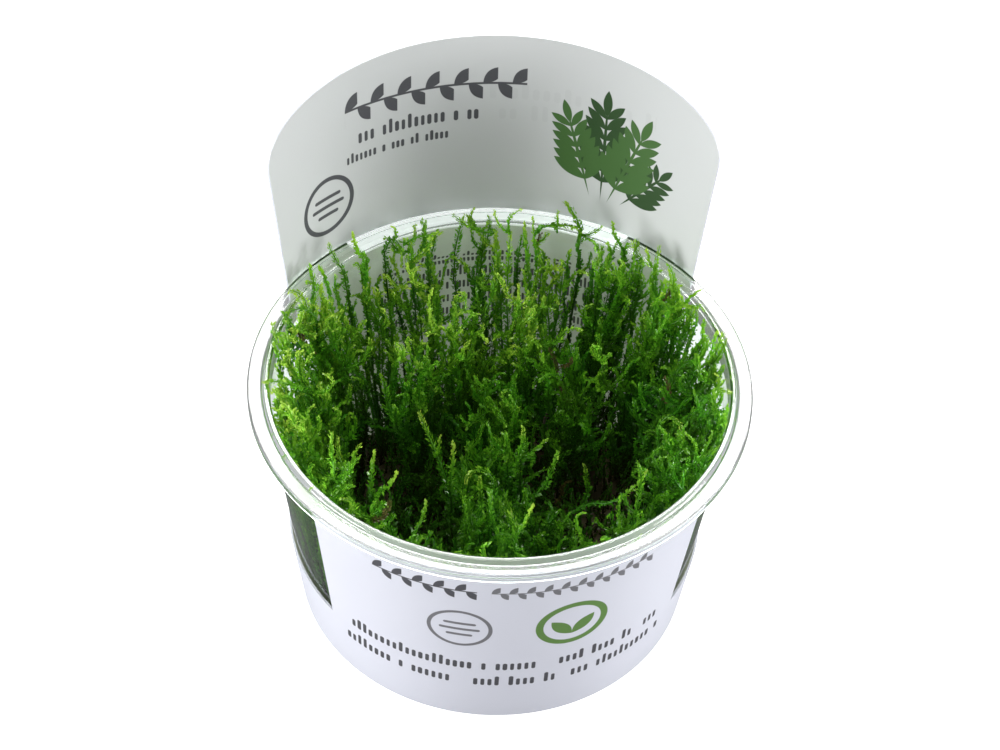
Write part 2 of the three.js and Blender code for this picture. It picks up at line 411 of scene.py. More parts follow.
def within(inside, x, start, end):
    """Ends a mark at start and end."""
    return inside.of("MINIMUM", x - start).of("MINIMUM", end - x)


def bar(x, y, middle_x, middle_y, half_width, half_height, corner):
    """A bar with rounded ends."""
    beyond_x = ((x - middle_x).of("ABSOLUTE") - (half_width - corner)).of("MAXIMUM", 0.0)
    beyond_y = ((y - middle_y).of("ABSOLUTE") - (half_height - corner)).of("MAXIMUM", 0.0)
    return corner - length_of(beyond_x, beyond_y)


def ring(x, y, middle_x, middle_y, radius, half_width):
    return half_width - (length_of(x - middle_x, y - middle_y) - radius).of("ABSOLUTE")


def blade(across, up, angle, length, width):
    """A blade pointed at both ends, which leans at an angle from its foot."""
    cosine, sine = angle.of("COSINE"), angle.of("SINE")
    share = (across * cosine + up * sine) / length
    return share * (1.0 - share) * width - (up * cosine - across * sine).of("ABSOLUTE")


def leaf(x, y, foot_x, foot_y, angle, length, half_width):
    return blade(x - foot_x, y - foot_y, angle, length, half_width * 4.0)


def row(x, y, start, end, level, height, pitch, seed):
    """A row of small grains of uneven height, which stands in for a line of print."""
    along = (x - start) / pitch
    cell = along.of("FLOOR")
    luck = put(x.tree, "TexWhiteNoise", noise_dimensions="1D", in_W=cell + seed)
    width_luck, height_luck, space_luck = parts(x.tree, luck.outputs["Color"], "SeparateColor")
    half = (width_luck * 0.08 + 0.26) * pitch
    top = level + (height_luck.of("GREATER_THAN", 0.68) * 0.42 + 0.5) * height
    low = level - height * 0.5
    beyond = (y - (top - half)).of("MAXIMUM", low + half - y).of("MAXIMUM", 0.0)
    inside = half - length_of(beyond, (along - cell - 0.5) * pitch)
    return within(inside, x, start, end) - space_luck.of("LESS_THAN", 0.15) * 100.0


def vine(x, y, start, end, level, length, pitch, lean):
    """A row of small leaves that lean out from a thin line, up and down in turn."""
    along = (x - start) / pitch
    cell = along.of("FLOOR")
    flip = cell.of("ABSOLUTE").of("MODULO", 2.0) * -2.0 + 1.0
    leaves = blade((along - cell) * pitch, (y - level) * flip, lean, length, length * 0.95)
    line = length * 0.045 - (y - level).of("ABSOLUTE")
    return within(leaves.of("MAXIMUM", line), x, start, end)


def mark_group(shape, *labels):
    """A node group with a place on the card and some numbers in, and the mask of a shape out."""
    group = bpy.data.node_groups.new("printed_" + shape.__name__, "ShaderNodeTree")
    group.interface.new_socket("Place", in_out="INPUT", socket_type="NodeSocketVector")
    for label in labels:
        group.interface.new_socket(label, in_out="INPUT", socket_type="NodeSocketFloat")
    group.interface.new_socket("Mask", in_out="OUTPUT", socket_type="NodeSocketFloat")
    enter = group.nodes.new("NodeGroupInput")
    x, y, _ = parts(group, enter.outputs["Place"])
    inside = shape(x, y, *(Number(group, enter.outputs[label]) for label in labels))
    edge = put(group, "MapRange", interpolation_type="SMOOTHSTEP", in_Value=inside,
               in_From_Min=-EDGE_SOFTNESS, in_From_Max=EDGE_SOFTNESS)
    setup(group.nodes.new("NodeGroupOutput"), in_Mask=edge.outputs[0])
    return group


PRINT = {
    "vine": mark_group(vine, "Start", "End", "Y", "Leaf Length", "Pitch", "Lean"),
    "row": mark_group(row, "Start", "End", "Y", "Height", "Pitch", "Seed"),
    "bar": mark_group(bar, "X", "Y", "Half Width", "Half Height", "Corner"),
    "ring": mark_group(ring, "X", "Y", "Radius", "Half Width"),
    "leaf": mark_group(leaf, "X", "Y", "Angle", "Length", "Half Width"),
}
print("print groups:", sorted(PRINT))

# %% [markdown]
# ## Card finishes
# The sleeve is white coated card. Its outside and its inside carry different print, and its cut
# edge is bare, so it has three finishes. The print's place comes from the card's own UV map, which
# holds the distance round the card and the height, so the marks bend with the sheet. A weak show
# of the outside's print through the sheet and a fine fibre grain keep the white from looking flat.
# Light from behind, which would shine through the sheet and arrive a little green through both the
# card and the cup, is painted in as a faint glow on the inside below the flange. The tab under the
# flange is a fourth finish, painted brighter white with a glow of its own as painted light.

# %% Card finishes
CARD_WHITE = (0.67, 0.685, 0.76)
CARD_INSIDE = (0.562, 0.577, 0.579)
# The tab's brighter white and its glow are painted light.
TAB_PAINTED_WHITE = (0.94, 0.95, 0.96)
TAB_PAINTED_GLOW = 0.42
# Tint of the painted backlight glow, a little green from the card and the cup.
PAINTED_GLOW_TINT = (0.93, 1.0, 0.76)
INK_GREY = (0.075, 0.075, 0.085, 1)
INK_PALE = (0.17, 0.17, 0.185, 1)
INK_GREEN = (0.115, 0.235, 0.055, 1)
INK_DARK_GREEN = (0.026, 0.064, 0.020, 1)
INK_LEAF = (0.055, 0.130, 0.034, 1)
UV_ARC = 400.0
UV_HEIGHT = 110.0


def twig(x, y, angle, length, pairs, leaf_length):
    """A straight twig with pairs of leaves and one leaf at its end, as a list of leaf marks."""
    marks = [("leaf", x, y, angle, length, 0.35)]
    for i in range(pairs):
        along = length * (0.18 + 0.72 * i / pairs)
        size = leaf_length * (1 - 0.45 * i / pairs)
        foot_x, foot_y = x + along * cos(angle), y + along * sin(angle)
        for turn in (0.75, -0.75):
            marks.append(("leaf", foot_x, foot_y, angle + turn, size, size * 0.17))
    end_x, end_y = x + 0.82 * length * cos(angle), y + 0.82 * length * sin(angle)
    return marks + [("leaf", end_x, end_y, angle, leaf_length * 0.7, leaf_length * 0.11)]


def note_mark(x, y, radius, line, *bars):
    """A ring with three short lines in it."""
    return [("ring", x, y, radius, line)] + [("bar", x, level, half, 0.4, 0.4) for level, half in bars]


def printed_card(name, white, layers=(), show_through=(), glow=0.0):
    """White card with layers of print: lists of marks, an ink and the UV map they are measured in.

    With a glow, the sheet glows below the flange: painted light that stands for light from behind shining through
    it.
    """
    material, tree, shader = new_material(name)
    places = {}
    for side in ("from_front", "from_back"):
        uv = put(tree, "UVMap", uv_map=side).outputs[0]
        scaled = vector_math(tree, "MULTIPLY", uv, in_1=(UV_ARC, UV_HEIGHT, 0))
        places[side] = vector_math(tree, "SUBTRACT", scaled, in_1=(UV_ARC / 2, 0, 0))
    cloud = noise(tree, 60.0, 3.0)
    colour = vector_math(tree, "SCALE", white, in_Scale=cloud * 0.025 + 0.975)

    def overlay(marks, ink, side, strength):
        mask = None
        for kind, *values in marks:
            node = put(tree, "Group", node_tree=PRINT[kind], in_0=places[side])
            for socket, value in zip(node.inputs[1:], values):
                socket.default_value = value
            own = Number(tree, node.outputs[0])
            mask = mask.of("MAXIMUM", own) if mask else own
        return blend(tree, mask * strength, colour, ink)

    if show_through:
        colour = overlay(show_through, INK_GREY, "from_back", 0.05)
    for marks, ink, side in layers:
        colour = overlay(marks, ink, side, 1.0)
    # Painted light: a glow below the flange stands for light from behind shining through the sheet.
    if glow:
        lit = parts(tree, object_place(tree))[2].of("LESS_THAN", (FLANGE_TOP - FLANGE_THICK) * MM)
        warm = vector_math(tree, "MULTIPLY", colour, in_1=PAINTED_GLOW_TINT)
        painted_backlight = vector_math(tree, "SCALE", warm, in_Scale=lit)
        setup(shader, in_Emission_Color=painted_backlight, in_Emission_Strength=glow)
    bump = put(tree, "Bump", in_Height=noise(tree, 2600.0, 2.0), in_Strength=0.12, in_Distance=0.0001)
    setup(shader, in_Base_Color=colour, in_Roughness=cloud * 0.12 + 0.36, in_Normal=bump.outputs[0],
          in_Specular_IOR_Level=0.4)
    return material


# Marks are in millimetres: x round the card from the front centre, and y up from the floor.
front_bold = [("vine", -28.0, -7.0, 48.6, 3.9, 2.1, 0.75)]
front_light = [("vine", -4.3, 28.7, 48.6, 3.2, 1.65, 0.75)]
front_ring = [("ring", 12.0, 35.0, 6.6, 0.75)]
front_sprout = [("leaf", 12.0, 31.2, 0.9, 7.0, 1.5), ("leaf", 12.0, 31.2, 2.24, 7.0, 1.5)]
front_mark = note_mark(-10.0, 35.0, 6.0, 0.4, (36.8, 3.2), (34.8, 4.0), (32.8, 2.6))
front_lines = [("row", -33.6, 33.6, 21.4, 2.5, 1.4, 14), ("row", -35.0, 35.0, 15.4, 2.5, 1.4, 25)]
back_lines = [("vine", -21.0, 21.0, 87.0, 3.9, 2.1, 0.75), ("row", -14.0, 14.0, 79.5, 1.9, 1.4, 37)]
back_lines += [("row", -26.0 + 2 * (i % 2), 26.0, 50.0 - 3.6 * i, 1.5, 1.25, 40 + 7 * i) for i in range(5)]

outside = printed_card("card_outside", CARD_WHITE, [
    (front_bold + front_lines, INK_GREY, "from_front"),
    (front_light + front_mark, INK_PALE, "from_front"),
    (front_ring + front_sprout, INK_GREEN, "from_front"),
    (back_lines, INK_PALE, "from_back"),
])
print("outside print:", len(outside.node_tree.nodes), "nodes")

# %% [markdown]
# The inside carries the header's print, which shows above the flange, and small lines of notes
# that show through the cup between the rear shoots. Its marks are measured from the header's
# middle, with x to the right as the header is seen from the front.

# %% Inside of the card
header_title = [("vine", -31.0, 8.0, 88.4, 5.6, 3.0, 0.75)]
header_lines = [("row", -31.0, -1.6, 81.0, 2.4, 1.4, 57), ("row", -31.0, -8.0, 76.6, 1.7, 1.05, 66)]
header_twigs = twig(26.0, 63.5, 1.2, 23.0, 6, 9.0) + twig(22.0, 64.0, 1.85, 21.0, 6, 8.0)
header_twigs_behind = twig(24.5, 63.5, 1.55, 25.0, 7, 9.0) + twig(29.0, 64.0, 0.85, 16.0, 5, 7.0)
header_mark = note_mark(-36.0, 68.6, 6.2, 0.5, (70.5, 3.4), (68.5, 4.2), (66.5, 2.7))
note_lines = [("row", -25.0 + 3 * (i % 2), 27.0, 46.0 - 3.4 * i, 1.9, 0.95, 70 + 9 * i) for i in range(5)]

# The inside gets a painted glow of backlight below the flange.
inside = printed_card("card_inside", CARD_INSIDE, [
    (header_title + header_lines + header_mark, INK_GREY, "from_back"),
    (header_twigs_behind, INK_DARK_GREEN, "from_back"),
    (header_twigs, INK_LEAF, "from_back"),
    (note_lines, INK_GREY, "from_back"),
], show_through=[("row", 0.0, 36.0, 86.0, 2.6, 2.2, 81), ("row", 2.0, 34.0, 81.0, 2.6, 2.2, 93)], glow=0.3)
cut_edge = printed_card("card_cut_edge", CARD_WHITE)
# Painted light: the tab is whiter than the card and glows, so it shines white through the rear of the flange where
# little light reaches it.
tab_painted_light = printed_card("card_tab_painted_light", TAB_PAINTED_WHITE)
setup(tab_painted_light.node_tree.nodes["Principled BSDF"], in_Emission_Color=(0.96, 0.98, 1.0, 1),
      in_Emission_Strength=TAB_PAINTED_GLOW)
print("inside print:", len(inside.node_tree.nodes), "nodes")

# %% [markdown]
# ## Card sleeve
# The real sleeve is one sheet of card about 0.45 mm thick, bent round the cup and glued at one
# side. Its cut outline has a low band all round, a panel in front that tucks in under the flange
# and a tall rounded header behind it, with a narrow tab that folds in under the rear of the
# flange. The tab is painted brighter than the card and glows, painted light that turns it white
# through the flange. Flat grids make those regions. Each is bent round the cone, their shared
# edges are merged, and the sheet gets its thickness last, so the wall is even.

# %% Sleeve sizes
CARD_THICK = 0.45
CARD_GAP = 0.35
CARD_FOOT = 2.0
BAND_TOP = 18.8
FRONT_TOP = 55.7
FRONT_HALF_ANGLE = 53.0
FRONT_CORNER_ANGLE = 6.0
FRONT_CORNER_DROP = 5.0
HEADER_HALF_ANGLE = 55.5
HEADER_SHOULDER = 27.0
HEADER_RISE = 14.6
HEADER_OFFSET = 3.5
SNUG_TO_ANGLE = 94.0
GLUE_SEAM = 235.0
TAB_HEIGHT = 56.2
TAB_INNER = 47.0
TAB_HALF_ANGLE = 34.5
SHARP_EDGE = radians(35)


def card_radius(angle, z):
    """Radius of the card's inner face at an angle from the front and a height."""
    off = HEADER_OFFSET * step(SNUG_TO_ANGLE, 180 - HEADER_HALF_ANGLE, angle)
    return outer_wall(z) + CARD_GAP + off


def header_top(from_back):
    share = min(1.0, from_back / HEADER_HALF_ANGLE)
    return FLANGE_TOP + HEADER_SHOULDER + HEADER_RISE * (1 - share ** 2.2) ** (1 / 2.6)


def front_top(angle):
    into = max(0.0, angle - (FRONT_HALF_ANGLE - FRONT_CORNER_ANGLE)) / FRONT_CORNER_ANGLE
    return FRONT_TOP - FRONT_CORNER_DROP * (1 - sqrt(max(0.0, 1 - min(1.0, into) ** 2)))


def spaced(start, end, count):
    return [start + (end - start) * i / count for i in range(count + 1)]


def at_turn(turn, r, z):
    around = radians(turn - 90)
    return Vector((r * cos(around), r * sin(around), z)) * MM


def turn_of(spot):
    return math.degrees(math.atan2(spot.y, spot.x)) + 90


# %% Sleeve
def bent_region(mesh, turns, rows, top_of, low):
    """A flat grid whose columns are bent to the given turns. Its rows run from low to the top edge."""
    made = bmesh.ops.create_grid(mesh, x_segments=len(turns) - 1, y_segments=rows, size=1.0)
    for vert in made["verts"]:
        turn = turns[round((vert.co.x + 1) / 2 * (len(turns) - 1))]
        z = low + (top_of(turn) - low) * ((vert.co.y + 1) / 2)
        angle = turn if turn <= 180 else 360 - turn
        vert.co = at_turn(turn, card_radius(abs(angle), z), z)


def bent_tab(mesh):
    """A narrow tab that folds in from the header and lies under the rear of the flange."""
    made = bmesh.ops.create_grid(mesh, x_segments=40, y_segments=2, size=1.0)
    outer = card_radius(180, TAB_HEIGHT) - 0.15
    for vert in made["verts"]:
        depth = (vert.co.y + 1) / 2
        turn = 180 + vert.co.x * (TAB_HALF_ANGLE + 1.5 * depth)
        vert.co = at_turn(turn, TAB_INNER + (outer - TAB_INNER) * depth, TAB_HEIGHT)


def make_sleeve(finishes):
    flat = FRONT_HALF_ANGLE - FRONT_CORNER_ANGLE
    front_turns = spaced(-FRONT_HALF_ANGLE, -flat, 8) + spaced(-flat, flat, 40)[1:-1]
    front_turns += spaced(flat, FRONT_HALF_ANGLE, 8)
    shares = [sin(math.pi / 2 * i / 30) for i in range(31)]
    header_turns = [180 - HEADER_HALF_ANGLE * s for s in reversed(shares)]
    header_turns += [180 + HEADER_HALF_ANGLE * s for s in shares[1:]]
    band_turns = front_turns + spaced(FRONT_HALF_ANGLE, 180 - HEADER_HALF_ANGLE, 26)[1:-1] + header_turns
    band_turns += spaced(180 + HEADER_HALF_ANGLE, 360 - FRONT_HALF_ANGLE, 26)[1:]
    mesh = bmesh.new()
    bent_region(mesh, band_turns, 4, lambda turn: BAND_TOP, CARD_FOOT)
    bent_region(mesh, front_turns, 8, lambda turn: front_top(abs(turn)), BAND_TOP)
    bent_region(mesh, header_turns, 16, lambda turn: header_top(abs(turn - 180)), BAND_TOP)
    bent_tab(mesh)
    bmesh.ops.remove_doubles(mesh, verts=mesh.verts, dist=2e-6)
    bmesh.ops.recalc_face_normals(mesh, faces=mesh.faces)
    from_front = mesh.loops.layers.uv.new("from_front")
    from_back = mesh.loops.layers.uv.new("from_back")
    for face in mesh.faces:
        middle_turn = turn_of(face.calc_center_median())
        for loop in face.loops:
            spot = loop.vert.co / MM
            turn = turn_of(spot)
            turn += 360 * round((middle_turn - turn) / 360)
            r = hypot(spot.x, spot.y)
            near_front = turn - 360 if middle_turn > GLUE_SEAM else turn
            near_back = -180 - turn if middle_turn < 0 else 180 - turn
            for layer, near in ((from_front, near_front), (from_back, near_back)):
                loop[layer].uv = (0.5 + radians(near) * r / UV_ARC, spot.z / UV_HEIGHT)
    bmesh.ops.solidify(mesh, geom=mesh.faces[:], thickness=-CARD_THICK * MM)
    bmesh.ops.recalc_face_normals(mesh, faces=mesh.faces)
    for face in mesh.faces:
        face.smooth = True
        middle = face.calc_center_median()
        outward = face.normal.dot(Vector((middle.x, middle.y, 0)).normalized())
        face.material_index = 0 if outward > 0.6 else 1 if outward < -0.6 else 2
        inward = card_radius(180, TAB_HEIGHT) - 0.2 - hypot(middle.x, middle.y) / MM
        if abs(middle.z / MM - TAB_HEIGHT) < 1 and inward > 0:
            face.material_index = 3
    for edge in mesh.edges:
        if len(edge.link_faces) == 2 and edge.calc_face_angle() > SHARP_EDGE:
            edge.smooth = False
    return finish_piece("printed_sleeve", mesh, finishes, "printed_card", "sleeve")


sleeve = make_sleeve([outside, inside, cut_edge, tab_painted_light])
radii = [hypot(v.co.x, v.co.y) / MM for v in sleeve.data.vertices if v.co.z < 0.0021]
print("sleeve foot radii", round(min(radii), 2), round(max(radii), 2))

# %% [markdown]
# ## Growing gel
# The foot of the cup holds about 8 mm of set agar gel, which is cloudy and wet on top. Its dark
# tan colour is painted shade that keeps the depth between the shoots dark. It is a turned slug
# with a low meniscus where it climbs the wall. Nearly half of its light passes straight through
# and the rest is scattered, which makes it look milky.

# %% Gel
GEL_TOP = 9.0
GEL_GAP = 0.3
GEL_STEPS = 96
# Painted shade: the gel's dark tan keeps the depth between the shoots dark.
GEL_PAINTED_SHADE = (0.10, 0.08, 0.04, 1)
GEL_PALE = (0.26, 0.22, 0.13, 1)


def gel_material():
    material, tree, shader = new_material("agar_gel")
    cloud = noise(tree, 90.0, 3.0)
    bump = put(tree, "Bump", in_Height=cloud, in_Strength=0.3, in_Distance=0.0008)
    setup(shader, in_Base_Color=blend(tree, cloud, GEL_PAINTED_SHADE, GEL_PALE), in_Normal=bump.outputs[0],
          in_Roughness=0.12, in_IOR=1.34, in_Transmission_Weight=0.45)
    return material


gel_radius = inner_wall(GEL_TOP) - GEL_GAP
under = FLOOR_THICK + GEL_GAP
gel_side = [(2.4, under), (1.3, 2.4), (0.7, 4.0), (0, GEL_TOP + 0.2), (0.5, GEL_TOP + 0.15), (1.6, GEL_TOP)]
gel_outline = [(0, under), *((gel_radius - inward, z) for inward, z in gel_side), (0, GEL_TOP)]
finish_piece("agar_gel", turned(gel_outline, GEL_STEPS), [gel_material()], "gel", "gel")

# %% [markdown]
# ## Moss colours
# A shoot of this moss is brown and dark at its foot, deep green along its length and bright
# yellow green in its young tip. Its small leaves are wet looking and thin enough for light to
# pass. Each leaf carries two numbers in the piece's own UV map: how far along the shoot it sits,
# and a random number for its shoot. The first number also carries painted light and shade: it is
# lowered for valley, under, front and right hand shoots and raised for tall tips and at the open
# rear. A ramp turns them into colour, a few shoots are old and tan, and a Translucent shader mixed
# with the glossy one lets a share of the light through. Light that many leaves pass on to each
# other would take very many bounces, so a trace of glow in the leaf's own colour stands for it and
# keeps the depth green.

# %% Moss material
OLD_TAN = (0.115, 0.105, 0.030, 1)
DEPTH_GLOW = 0.045
LEAF_THROUGH = 0.36
LEAF_COLOURS = {0.0: (0.034, 0.030, 0.009, 1), 0.25: (0.036, 0.112, 0.010, 1), 0.5: (0.056, 0.215, 0.012, 1),
                0.72: (0.110, 0.360, 0.016, 1), 0.9: (0.220, 0.500, 0.030, 1), 1.0: (0.420, 0.640, 0.075, 1)}


def moss_material():
    material, tree, shader = new_material("moss_leaves")
    grown, luck, _ = parts(tree, put(tree, "UVMap", uv_map="growth").outputs[0])
    uneven = (luck * 0.16 - 0.08), (noise(tree, 900.0, 1.0) * 0.16 - 0.08)
    ramp = put(tree, "ValToRGB", in_0=grown + uneven[0] + uneven[1])
    stops = ramp.color_ramp.elements
    for position in list(LEAF_COLOURS)[1:-1]:
        stops.new(position)
    for stop, colour in zip(stops, LEAF_COLOURS.values()):
        stop.color = colour
    hue = put(tree, "HueSaturation", in_Color=ramp.outputs[0], in_Hue=noise(tree, 110.0, 1.0) * 0.05 + 0.475,
              in_Value=luck * 0.4 + 0.8)
    colour = blend(tree, luck.of("GREATER_THAN", 1.5), hue.outputs[0], OLD_TAN)
    setup(shader, in_Base_Color=colour, in_Emission_Color=colour, in_Emission_Strength=DEPTH_GLOW,
          in_Roughness=0.22, in_IOR=1.45)
    mixed_surface(tree, LEAF_THROUGH, shader, put(tree, "BsdfTranslucent", in_Color=colour))
    return material


moss_green = moss_material()

# %% [markdown]
# ## One leafy shoot
# The leafy shoot is the unit of the whole stand. On the plant it is a thin stem with overlapping
# scale leaves in two loose ranks, so it looks like a ribbon about 2 mm wide with a ragged edge.
# Thousands of leaf objects would be slow, and the export keeps no instances, so each shoot is
# worked out as arrays and all shoots of one tuft are joined in one mesh. A leaf is two triangles
# folded along its midrib, and its two numbers for colour go in the UV map.

# %% One leafy shoot
LEAF_LENGTH = 1.05
LEAF_HALF_WIDTH = 0.36
LEAF_GAP = 0.17
LOWER_LEAF_GAP = 0.34
LEAFY_LENGTH = 22.0
STEM_RADIUS = 0.3
TIP_ZONE = 6.0
OLD_SHARE = 0.006


def unit(vectors):
    return vectors / np.maximum(np.linalg.norm(vectors, axis=-1, keepdims=True), 1e-9)


def fan(angles, first, second):
    """Turns from the first vectors towards the second by the given angles."""
    return np.cos(angles)[..., None] * first + np.sin(angles)[..., None] * second


def sampled(at, along, values):
    return np.stack([np.interp(at, along, values[:, k]) for k in range(3)], 1)


def carried_side(tangent, first):
    """A vector at right angles to the path, carried along it with no sudden twist."""
    sides = []
    side = first
    for t in tangent:
        side = side - t * np.dot(side, t)
        side = side / max(np.linalg.norm(side), 1e-9)
        sides.append(side)
    return np.array(sides)


def leaf_stations(rng, first, length, gap):
    """Distances along a shoot at which leaves grow, closer together in its upper part."""
    change = max(first, length - LEAFY_LENGTH)
    upper = max(6, int((length - change) / gap))
    lower = int((change - first) / LOWER_LEAF_GAP)
    stations = [change + (length - change) * (np.arange(upper) + 0.6 * rng.random(upper)) / upper]
    if lower > 0:
        stations.insert(0, first + (change - first) * (np.arange(lower) + 0.6 * rng.random(lower)) / lower)
    return np.concatenate(stations)


def leaf_limit(z):
    """How far out a leaf may reach at heights z: just short of the wall, and free above the rim."""
    heights = np.linspace(GEL_TOP, FLANGE_TOP, 50)
    limits = np.interp(z, heights, [inner_wall(h) - 0.12 for h in heights])
    return np.where(z > FLANGE_TOP, 60.0, limits)


class Growth:
    """Collects the vertices, triangles and UVs of one tuft."""

    def __init__(self, seed):
        self.rng = np.random.default_rng(seed)
        self.spots, self.faces, self.marks, self.count = [], [], [], 0

    def add(self, spots, faces, marks):
        r = np.hypot(spots[:, 0], spots[:, 1])
        spots[:, :2] *= np.minimum(1.0, (leaf_limit(spots[:, 2]) / np.maximum(r, 1e-6)))[:, None]
        self.spots.append(spots)
        self.faces.append(faces + self.count)
        self.marks.append(marks)
        self.count += len(spots)

    def shoot(self, path, shares, thickness=1.0, bare=0.0, gap=LEAF_GAP, old_share=OLD_SHARE):
        """A stem along path with leaves. shares says how far along its growth each point is, with any painted light
        and shade already in it.
        """
        rng = self.rng
        along = np.concatenate([[0], np.cumsum(np.linalg.norm(np.diff(path, axis=0), axis=1))])
        tangent = unit(np.gradient(path, axis=0))
        side = carried_side(tangent, unit(rng.normal(size=3)))
        other = np.cross(tangent, side)
        tone = 2.0 if rng.random() < old_share else rng.random()
        self.stem(path, side, other, shares, tone, thickness)
        length = along[-1]
        at = leaf_stations(rng, bare * length, length, gap)
        count = len(at)
        centre, forward = sampled(at, along, path), unit(sampled(at, along, tangent))
        turn = rng.uniform(0, TAU) + at * rng.uniform(-0.06, 0.06)
        turn = turn + np.pi * (np.arange(count) % 2) + rng.normal(0, 0.5, count)
        radial = unit(fan(turn, sampled(at, along, side), sampled(at, along, other)))
        to_tip = np.clip((length - at) / TIP_ZONE, 0, 1)
        opening = np.radians(21 + 25 * to_tip ** 1.2 + rng.normal(0, 9, count) * (1 + to_tip))
        size = LEAF_LENGTH * thickness * (0.7 + 0.3 * to_tip) * rng.uniform(0.6, 1.25, count)
        direction = fan(opening, forward, radial)
        across = unit(np.cross(forward, radial))
        normal = np.cross(across, direction)
        roll = rng.normal(0, 0.32, count)
        across, normal = fan(roll, across, normal), fan(roll, normal, -across)
        base = centre + radial * (STEM_RADIUS * 0.6)
        raised = normal * (size * rng.uniform(0.05, 0.14, count))[:, None]
        middle = base + direction * (size * 0.42)[:, None] + raised
        wide = across * (LEAF_HALF_WIDTH * size / LEAF_LENGTH)[:, None]
        tip = base + direction * size[:, None] - normal * (size * 0.08)[:, None]
        spots = np.stack([base, middle + wide, tip, middle - wide], 1).reshape(-1, 3)
        start = (np.arange(count) * 4)[:, None]
        faces = np.concatenate([start + [0, 1, 2], start + [0, 2, 3]], 0)
        share = np.interp(at, along, shares)
        tones = np.full(count, 2.0) if tone > 1.5 else np.clip(tone + rng.normal(0, 0.08, count), 0, 1)
        marks = np.repeat(np.stack([share, tones], 1), 4, axis=0)
        marks[2::4, 0] += 0.05
        self.add(spots, faces, marks)

    def stem(self, path, side, other, shares, tone, thickness):
        """A three-sided tapering stem with a point at its tip and a closed foot."""
        count = len(path)
        radius = STEM_RADIUS * thickness * np.linspace(1.0, 0.4, count)[:, None, None]
        turn = np.arange(3) * TAU / 3
        ring = fan(turn, side[:, None], other[:, None])
        spots = (path[:, None] + ring * radius).reshape(-1, 3)
        spots = np.concatenate([spots, path[-1:] + (path[-1:] - path[-2:-1]) * 0.4], 0)
        faces = []
        low = (np.arange(count - 1) * 3)[:, None]
        for k in range(3):
            after = (k + 1) % 3
            faces += [low + [k, after, after + 3], low + [k, after + 3, k + 3]]
        top = (count - 1) * 3
        faces.append(np.array([[top + k, top + (k + 1) % 3, top + 3] for k in range(3)] + [[2, 1, 0]]))
        stem_tone = tone if tone > 1.5 else tone * 0.7
        marks = np.stack([np.repeat(shares, 3) - 0.07, np.full(3 * count, stem_tone)], 1)
        marks = np.concatenate([marks, marks[-1:]], 0)
        self.add(spots, np.concatenate(faces, 0), marks)

    def mesh(self, name):
        spots, faces, marks = (np.concatenate(part, 0) for part in (self.spots, self.faces, self.marks))
        data = bpy.data.meshes.new(name)
        data.vertices.add(len(spots))
        data.vertices.foreach_set("co", (spots * MM).astype(np.float32).ravel())
        data.loops.add(3 * len(faces))
        data.loops.foreach_set("vertex_index", faces.astype(np.int32).ravel())
        data.polygons.add(len(faces))
        data.polygons.foreach_set("loop_start", np.arange(0, 3 * len(faces), 3, dtype=np.int32))
        layer = data.uv_layers.new(name="growth")
        layer.data.foreach_set("uv", marks[faces.ravel()].astype(np.float32).ravel())
        data.update()
        data.validate()
        return data


# %% [markdown]
# ## Where the tufts stand
# The stand is 35 tufts in rings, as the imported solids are, and each visual tuft takes the place
# of its solid. The moss is tall at the back and along the wall, and two dark valleys lie left and
# right of a ridge in the middle.

# %% Tuft places and heights
RING_STEP = 11.2
RING_COUNTS = [1, 6, 12, 18]
RING_TURN = [0, 20, 15, 10]
MOSS_FOOT = GEL_TOP + GEL_GAP
SHOOT_FOOT = MOSS_FOOT - 0.4
MOSS_FLARE = 0.17
RIM_LEAN = 0.5
HOLLOW = (21.6, 0.0, 8.0)
# Each valley is x, y, half width, half length and depth.
VALLEYS = [(-18, -6, 12, 19, 32), (20, -2, 11.5, 17, 30)]
LOWEST_TOP = 21.0
# The rear left of the stand is open: fewer, lower shoots that the pale wall shows between.
OPEN_REAR_HEIGHT = 0.93
# Open rear shoots start their colour part way up the ramp: painted light that brightens the rear.
OPEN_REAR_PAINTED_LIGHT = 0.32


def chance(a, b, c):
    s = sin(a * 127.1 + b * 311.7 + c * 74.7) * 43758.5453
    return s - math.floor(s)


def moss_height(x, y):
    r = hypot(x, y)
    rim = step(12, 31, r)
    rear = step(-30, 30, y)
    height = 36 + rim * (15 + 8 * rear) + 8 * (1 - rim) * rear
    for middle_x, middle_y, half_width, half_length, depth in VALLEYS:
        away = hypot((x - middle_x) / half_width, (y - middle_y) / half_length)
        height -= depth * (1 - step(27, 32, r)) * (1 - step(0.75, 1.25, away))
    return max(height, LOWEST_TOP)


def tuft_places():
    places, number = [], 0
    for ring, count in enumerate(RING_COUNTS):
        for i in range(count):
            angle = TAU * i / count + radians(RING_TURN[ring])
            x, y = ring * RING_STEP * cos(angle), ring * RING_STEP * sin(angle)
            if hypot(x - HOLLOW[0], y - HOLLOW[1]) > HOLLOW[2]:
                number += 1
                places.append(SimpleNamespace(id=number, x=x, y=y, angle=angle, open_rear=y > 22 and x < 16,
                                              outer=ring == len(RING_COUNTS) - 1))
    return places


def tuft_centre(tuft, z):
    spread = 1 + MOSS_FLARE * (z - MOSS_FOOT) / (FLANGE_TOP - MOSS_FOOT)
    over = RIM_LEAN * max(0.0, z - FLANGE_TOP - 1) if tuft.outer else 0.0
    return np.array([tuft.x * spread + over * cos(tuft.angle), tuft.y * spread + over * sin(tuft.angle)])


TUFTS = tuft_places()
print("tufts:", len(TUFTS))

# %% [markdown]
# ## Shoots that fill the stand
# The main shoots follow the solid's own shoots, so the tips stay where they were. Thinner shoots
# with more bends fill between them, side shoots fork off and bend upwards, and shorter shaded
# ones stand under them, so that no gap looks down to the floor. Short old shoots hide the gel, and
# a row of straight shoots presses against the clear wall. The rear has fewer shoots, with bare
# stems, because there the pale card shows between them.

